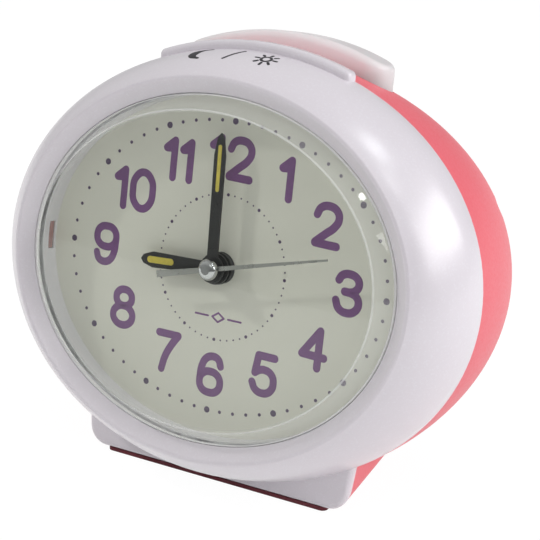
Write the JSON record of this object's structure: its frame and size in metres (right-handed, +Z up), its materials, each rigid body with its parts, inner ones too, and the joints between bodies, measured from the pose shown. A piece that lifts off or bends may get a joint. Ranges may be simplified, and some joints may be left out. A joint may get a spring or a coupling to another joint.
{
  "type": "talking alarm clock",
  "caption": "Oval desk alarm clock that speaks the time, leaning back on a flat foot, with a bevelled lens, luminous analogue dial, hands and a long press bar on top.",
  "frame": {"origin": "on the table, at the middle of the foot pad", "axes": "+Z up, the dial faces -Y and leans back, +X to the right of the dial as seen from the front"},
  "size_m": [0.1314, 0.0773, 0.1087],
  "materials": {
    "pearl_white": "glossy, faint lilac pearl",
    "coral_pink": "satin",
    "clear_lens": "clear",
    "ring_white": "satin",
    "dial_green": "luminous paint",
    "hand_black": "satin black",
    "lume_yellow": "luminous paint",
    "second_silver": "satin",
    "cap_chrome": "polished",
    "pad_maroon": "matte",
    "lamp_red": "tinted",
    "movement_grey": "moulded",
    "wheel_white": "moulded",
    "arbor_brass": "turned",
    "sheet_steel": "plated",
    "magnet_dark": "ground",
    "coil_copper": "enamelled wire",
    "board_green": "solder mask",
    "chip_black": "resin",
    "cap_sleeve": "sleeve",
    "speaker_black": "satin",
    "cone_grey": "pressed",
    "cell_wrap": "printed sleeve, plain",
    "knob_white": "satin"
  },
  "bodies": {
    "case": {"front_case": "pearl_white", "rear_case": "coral_pink", "lens": "clear_lens", "dial_ring": "ring_white", "dial": "dial_green", "dial_lamps": "lamp_red", "foot_pad": "pad_maroon", "case_screws": "sheet_steel", "movement_plate": "movement_grey", "movement_cover": "movement_grey", "alarm_contact": "sheet_steel", "stator": "sheet_steel", "coil_bobbin": "wheel_white", "coil_winding": "coil_copper", "movement_board": "board_green", "crystal_can": "sheet_steel", "snooze_springs": "sheet_steel", "snooze_board": "board_green", "snooze_switch": "chip_black", "sound_board": "board_green", "board_screws": "sheet_steel", "voice_chip": "chip_black", "capacitors": "cap_sleeve", "alarm_switch": "sheet_steel", "speaker_frame": "speaker_black", "speaker_magnet": "magnet_dark", "speaker_cone": "cone_grey", "battery_cells": "cell_wrap", "battery_terminals": "sheet_steel", "battery_springs": "sheet_steel"},
    "seconds": {"second_hand": "second_silver", "second_cap": "cap_chrome", "seconds_wheel": "wheel_white"},
    "third": {"third_wheel": "wheel_white"},
    "centre": {"centre_wheel": "wheel_white"},
    "intermediate": {"intermediate_wheel": "wheel_white"},
    "motor_rotor": {"rotor": "magnet_dark"},
    "minutes": {"minute_hand": "hand_black", "minute_lume": "lume_yellow", "cannon_pinion": "arbor_brass"},
    "hours": {"hour_hand": "hand_black", "hour_lume": "lume_yellow", "hour_wheel": "wheel_white"},
    "motion": {"motion_wheel": "wheel_white"},
    "time_set": {"time_set_shaft": "wheel_white", "time_knob": "knob_white"},
    "alarm": {"alarm_hand": "hand_black", "alarm_wheel": "wheel_white"},
    "alarm_set": {"alarm_set_shaft": "wheel_white", "alarm_knob": "knob_white"},
    "snooze": {"snooze_button": "pearl_white"},
    "plunger": {"snooze_plunger": "chip_black"},
    "slider": {"alarm_slider": "knob_white"},
    "door": {"battery_door": "coral_pink"}
  },
  "joints": [
    {"name": "second_turn", "type": "hinge", "parent": "case", "child": "seconds", "pos_m": [0, -0.0128, 0.0553], "axis": [0, 0.9792, -0.2028], "continuous": true},
    {"name": "third_turn", "type": "hinge", "parent": "case", "child": "third", "pos_m": [-0.00393, -0.01499, 0.04472], "axis": [0, 0.9792, -0.2028], "continuous": true},
    {"name": "centre_turn", "type": "hinge", "parent": "case", "child": "centre", "pos_m": [0, -0.0128, 0.0553], "axis": [0, 0.9792, -0.2028], "continuous": true},
    {"name": "intermediate_turn", "type": "hinge", "parent": "case", "child": "intermediate", "pos_m": [-0.00393, -0.01061, 0.06588], "axis": [0, 0.9792, -0.2028], "continuous": true},
    {"name": "rotor_turn", "type": "hinge", "parent": "case", "child": "motor_rotor", "pos_m": [0.00007, -0.0092, 0.07267], "axis": [0, 0.9792, -0.2028], "continuous": true},
    {"name": "minute_turn", "type": "hinge", "parent": "case", "child": "minutes", "pos_m": [0, -0.0128, 0.0553], "axis": [0, 0.9792, -0.2028], "continuous": true},
    {"name": "hour_turn", "type": "hinge", "parent": "case", "child": "hours", "pos_m": [0, -0.0128, 0.0553], "axis": [0, 0.9792, -0.2028], "continuous": true},
    {"name": "motion_turn", "type": "hinge", "parent": "case", "child": "motion", "pos_m": [0.0096, -0.01285, 0.05504], "axis": [0, 0.9792, -0.2028], "continuous": true},
    {"name": "time_knob_turn", "type": "hinge", "parent": "case", "child": "time_set", "pos_m": [0.01337, -0.01117, 0.06317], "axis": [0, 0.9792, -0.2028], "continuous": true},
    {"name": "alarm_turn", "type": "hinge", "parent": "case", "child": "alarm", "pos_m": [0, -0.0128, 0.0553], "axis": [0, 0.9792, -0.2028], "continuous": true},
    {"name": "alarm_knob_turn", "type": "hinge", "parent": "case", "child": "alarm_set", "pos_m": [-0.01337, -0.01117, 0.06317], "axis": [0, 0.9792, -0.2028], "continuous": true},
    {"name": "snooze_press", "type": "slide", "parent": "case", "child": "snooze", "axis": [0, -0.2028, -0.9792], "range_m": [0, 0.0016], "stiffness_N_per_m": 400, "springref_m": -0.002, "deforming": ["snooze_springs"]},
    {"name": "plunger_press", "type": "slide", "parent": "case", "child": "plunger", "axis": [0, -0.2028, -0.9792], "range_m": [0, 0.0016]},
    {"name": "alarm_slide", "type": "slide", "parent": "case", "child": "slider", "axis": [1, 0, 0], "range_m": [0, 0.004]},
    {"name": "door_swing", "type": "hinge", "parent": "case", "child": "door", "pos_m": [0, 0.02902, 0.01391], "axis": [-1, 0, 0], "range_deg": [0, 75]}
  ],
  "couplings": [
    {"joint": "third_turn", "follows": "second_turn", "ratio": -0.13333},
    {"joint": "centre_turn", "follows": "second_turn", "ratio": 0.016667},
    {"joint": "intermediate_turn", "follows": "second_turn", "ratio": -6},
    {"joint": "rotor_turn", "follows": "second_turn", "ratio": 30},
    {"joint": "hour_turn", "follows": "minute_turn", "ratio": 0.083333},
    {"joint": "motion_turn", "follows": "minute_turn", "ratio": -0.33333},
    {"joint": "time_knob_turn", "follows": "minute_turn", "ratio": 1.25},
    {"joint": "alarm_knob_turn", "follows": "alarm_turn", "ratio": -1.0312},
    {"joint": "plunger_press", "follows": "snooze_press", "ratio": 1}
  ]
}
